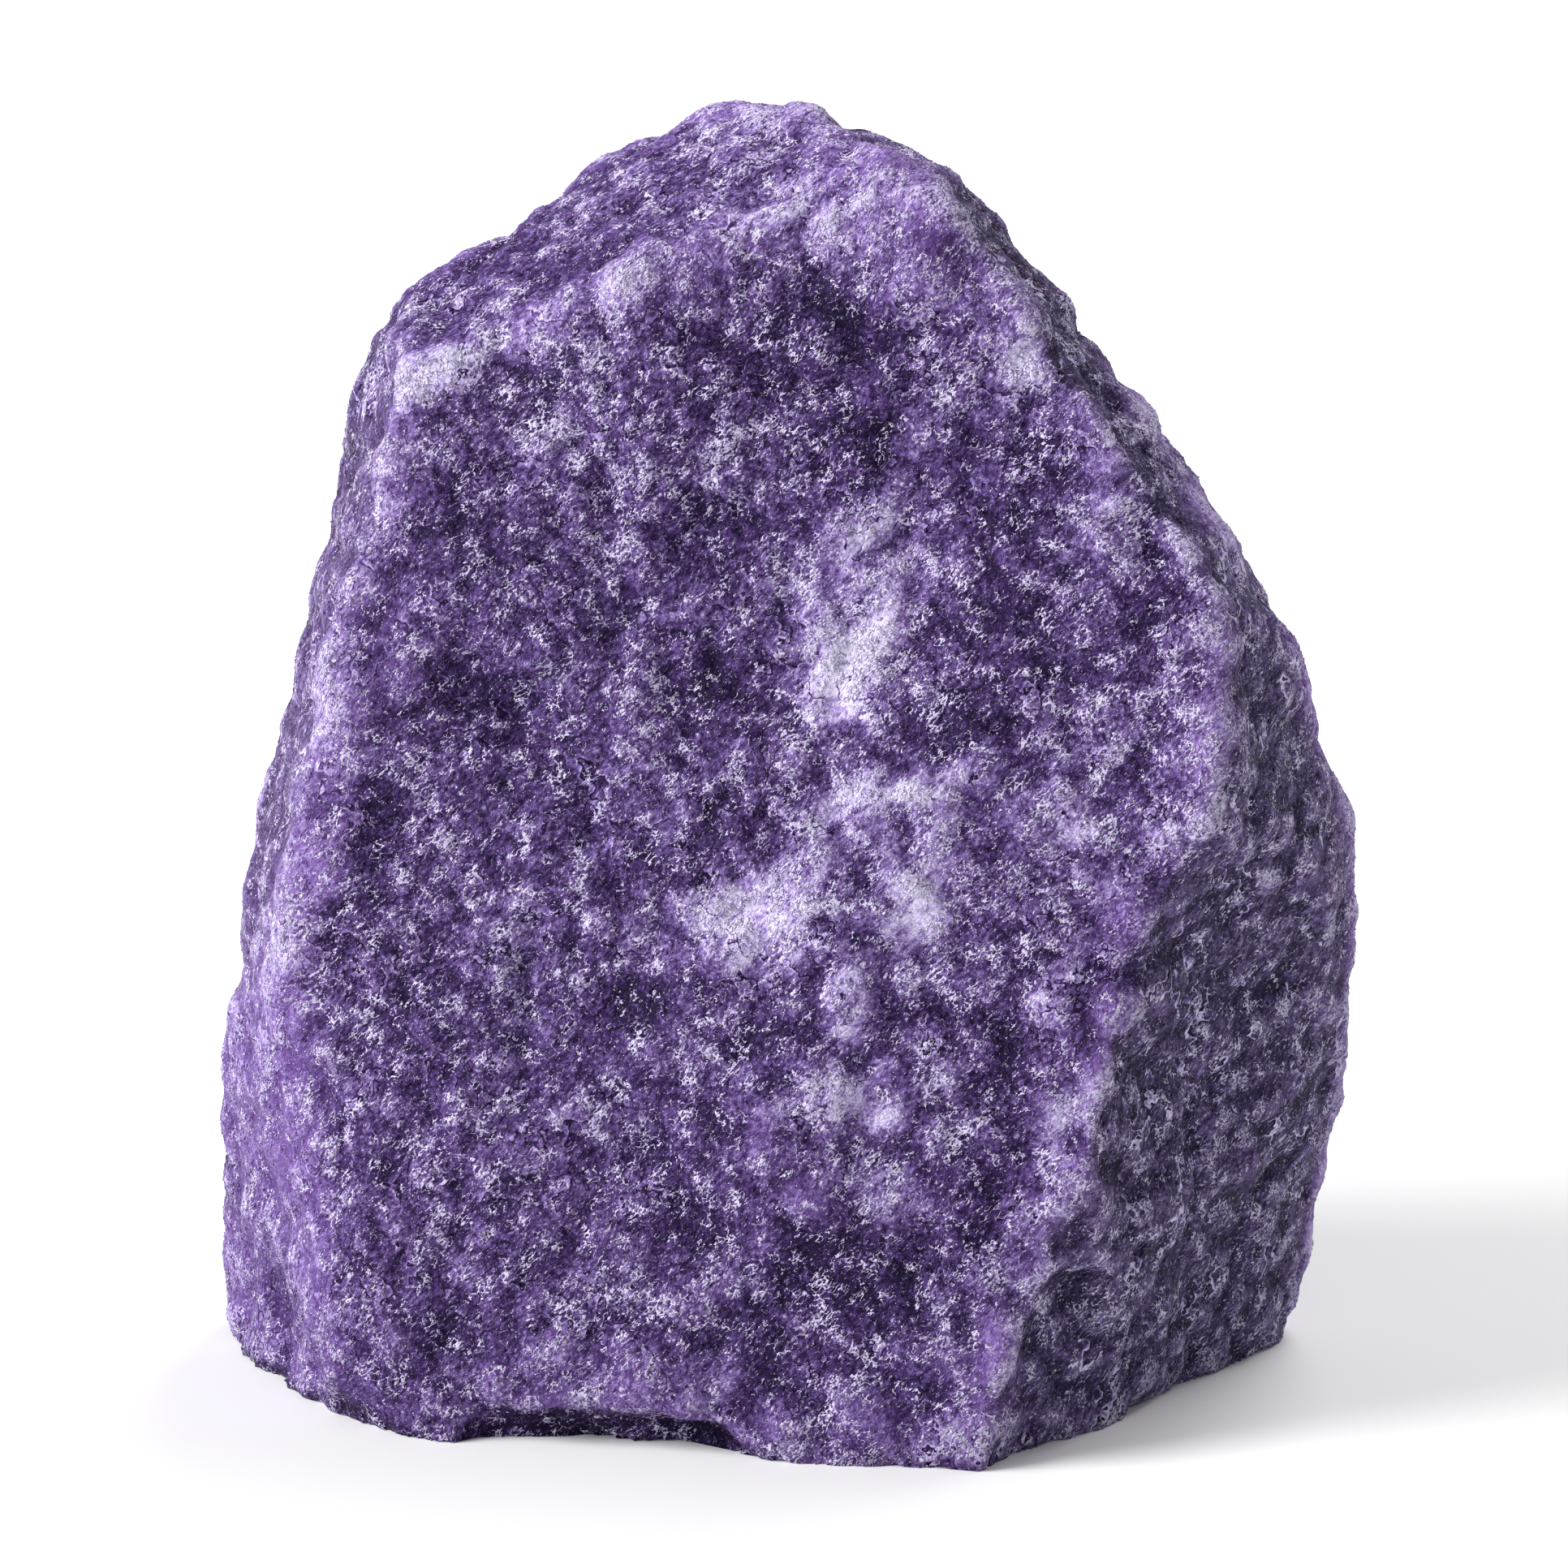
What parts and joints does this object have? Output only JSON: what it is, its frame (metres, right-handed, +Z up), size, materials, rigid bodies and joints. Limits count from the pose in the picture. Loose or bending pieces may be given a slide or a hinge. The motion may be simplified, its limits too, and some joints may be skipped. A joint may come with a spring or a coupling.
{
  "type": "rough lepidolite",
  "caption": "Rough chunk of purple lepidolite mica rock, broken on every side, with a broad front face and a flat underside to rest on.",
  "frame": {"origin": "middle of the stone's bounding box, on the level of its flat underside", "axes": "+Z up to the summit, the broad front face looks towards -Y and a little to -X, +X to the right of that face"},
  "size_m": [0.0528, 0.0344, 0.059],
  "materials": {
    "lepidolite": "sugary fine-grained mica, satin with small glints"
  },
  "bodies": {
    "root": {"rough_stone": "lepidolite"}
  },
  "joints": []
}
